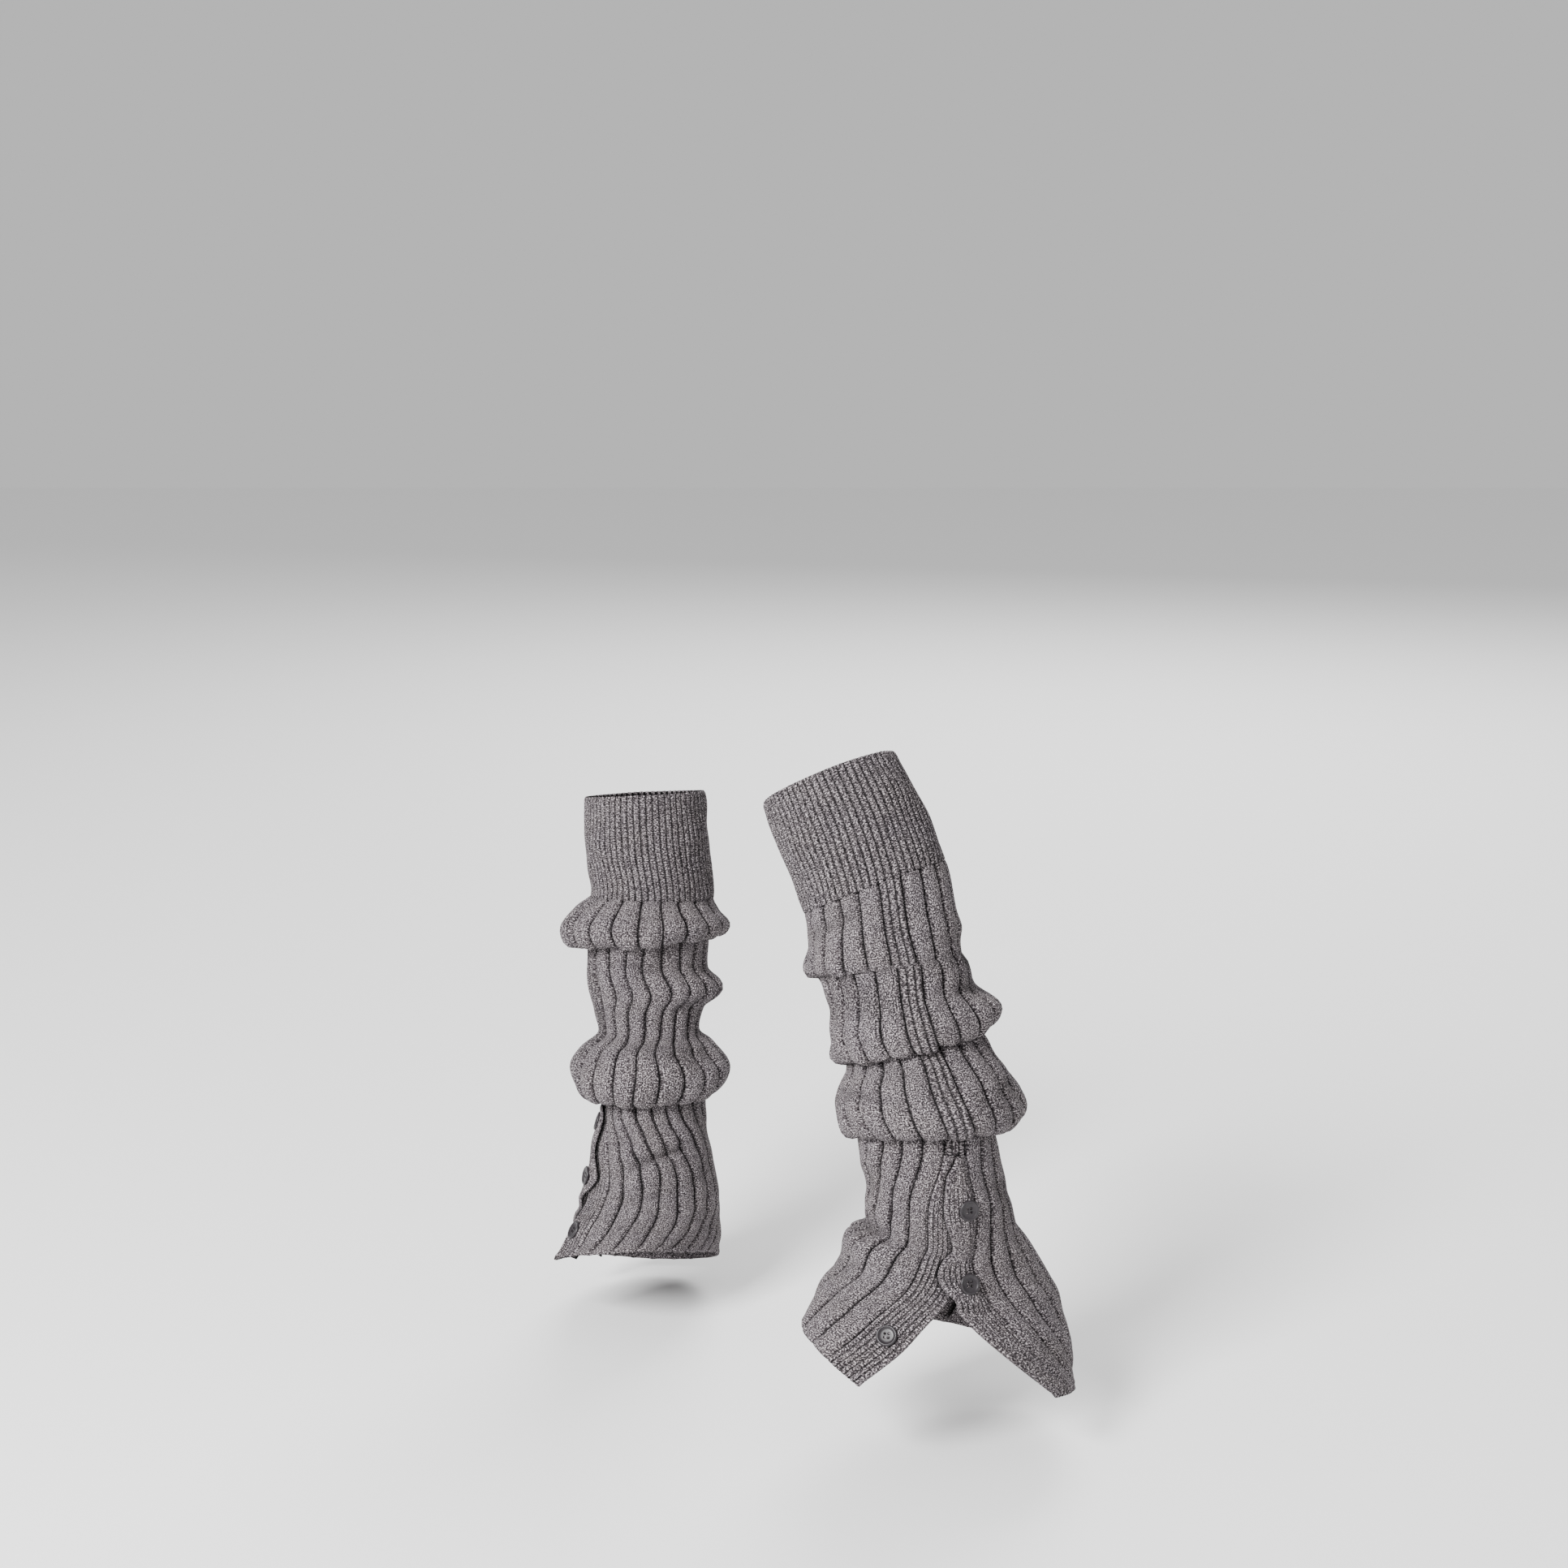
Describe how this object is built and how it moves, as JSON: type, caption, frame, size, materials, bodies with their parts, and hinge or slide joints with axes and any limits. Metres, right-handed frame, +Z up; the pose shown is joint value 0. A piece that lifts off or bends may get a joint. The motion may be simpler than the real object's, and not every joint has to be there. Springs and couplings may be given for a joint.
{
  "type": "pair of knitted leg warmers",
  "caption": "Pair of slouched ribbed-knit leg warmers as worn, hollow, with fine-ribbed cuffs, deep folds and a buttoned vent opening over each foot.",
  "frame": {"origin": "middle of the left leg warmer's cuff, on the line up the middle of the calf it is held on", "axes": "+Z up, -Y towards the front of the pair as pictured, +X to the right as pictured; the toes point towards -Y and -X"},
  "size_m": [0.3877, 0.4012, 0.4846],
  "materials": {
    "knit": "matte heather grey-mauve melange wool-blend knit, softly napped, ribbed",
    "button": "purple-grey resin, satin, dished face with a rolled rim and four holes"
  },
  "bodies": {
    "root": {"left_cuff": "knit", "left_leg": "knit", "left_button_band": "knit", "left_buttonhole_band": "knit", "left_button_1": "button", "left_button_2": "button", "left_button_3": "button", "right_cuff": "knit", "right_leg": "knit", "right_button_band": "knit", "right_buttonhole_band": "knit", "right_button_1": "button", "right_button_2": "button", "right_button_3": "button"}
  },
  "joints": []
}
